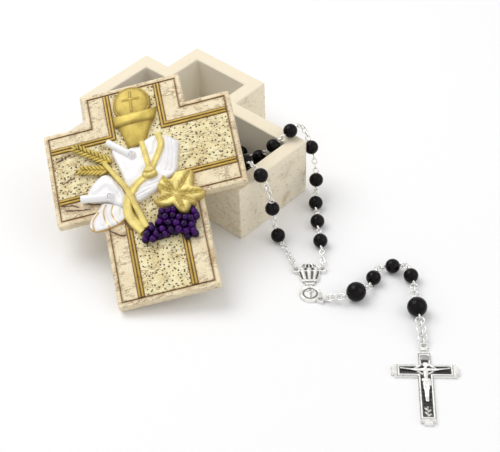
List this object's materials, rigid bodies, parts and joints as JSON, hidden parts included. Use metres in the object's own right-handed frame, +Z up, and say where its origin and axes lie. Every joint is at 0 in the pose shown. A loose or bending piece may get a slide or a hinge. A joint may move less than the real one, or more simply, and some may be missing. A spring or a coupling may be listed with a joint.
{
  "type": "rosary box",
  "caption": "Cross-shaped cast box with a loose lid in raised chalice, wheat and grape ornament, leaning on the rim, and a black-bead rosary spilling out over the foot end.",
  "frame": {"origin": "On the underside of the box, below the middle of the crossing; the table is z = 0.", "axes": "+Z is up, -Y points to the foot of the cross and the spilled rosary, +X runs along the box's right arm as seen from the foot."},
  "size_m": [0.1289, 0.2239, 0.0535],
  "materials": {
    "cast_resin": "cast resin, cream with a tan antiqued border",
    "gold_paint": "satin gold paint on cast resin",
    "white_glaze": "glossy white paint on cast resin",
    "wafer": "cream wafer with a pressed cross",
    "leaf_paint": "satin gold paint, darker in the veins",
    "grape_paint": "glossy dark purple paint",
    "wheat_paint": "pale gold paint on cast resin",
    "bead": "glossy black beads",
    "antique_metal": "antique silver casting, darkened in the recesses",
    "chain_wire": "silver-coloured wire"
  },
  "bodies": {
    "root": {"box_shell": "cast_resin", "loop_chain": "chain_wire", "small_beads_left": "bead", "small_beads_right": "bead", "small_beads_inside": "bead", "large_beads_inside": "bead", "centre_medal": "antique_metal", "medal_rings": "chain_wire"},
    "lid": {"lid_slab": "cast_resin", "gold_lines": "gold_paint", "host": "wafer", "chalice_cup": "gold_paint", "cloth_upper": "white_glaze", "cloth_lower": "white_glaze", "cloth_foot": "white_glaze", "cloth_roll_upper": "white_glaze", "cloth_roll_lower": "white_glaze", "stole_straps": "gold_paint", "stole_knot": "gold_paint", "stole_tail": "gold_paint", "wheat_stem": "wheat_paint", "wheat_ear_upper": "wheat_paint", "wheat_ear_lower": "wheat_paint", "vine_leaf": "leaf_paint", "grapes": "grape_paint"},
    "pendant": {"chain_upper": "chain_wire", "large_bead_upper": "bead", "small_bead_1": "bead", "small_bead_2": "bead", "small_bead_3": "bead", "eye_pins_upper": "chain_wire", "bead_links": "chain_wire"},
    "tail": {"chain_lower": "chain_wire", "large_bead_lower": "bead", "eye_pin_lower": "chain_wire"},
    "crucifix_link": {"cross_ring": "chain_wire"},
    "crucifix": {"crucifix_cross": "antique_metal", "corpus": "antique_metal", "titulus": "antique_metal"}
  },
  "joints": [
    {"name": "lid_lift", "type": "slide", "parent": "root", "child": "lid", "axis": [0, 0, 1], "range_m": [0, 0.06]},
    {"name": "pendant_swing", "type": "hinge", "parent": "root", "child": "pendant", "pos_m": [-0.0279, -0.1127, 0.0013], "axis": [0, 0, 1], "range_deg": [-15, 15]},
    {"name": "tail_swing", "type": "hinge", "parent": "pendant", "child": "tail", "pos_m": [0.00036, -0.13915, 0.0034], "axis": [0, 0, 1], "range_deg": [-18, 18]},
    {"name": "crucifix_swing", "type": "hinge", "parent": "tail", "child": "crucifix_link", "pos_m": [-0.0191, -0.1584, 0.0021], "axis": [0, 0, 1], "range_deg": [-30, 30]},
    {"name": "crucifix_lift", "type": "hinge", "parent": "crucifix_link", "child": "crucifix", "pos_m": [-0.01979, -0.15911, 0.002], "axis": [-0.6402, 0.7682, 0], "range_deg": [0, 60]}
  ]
}
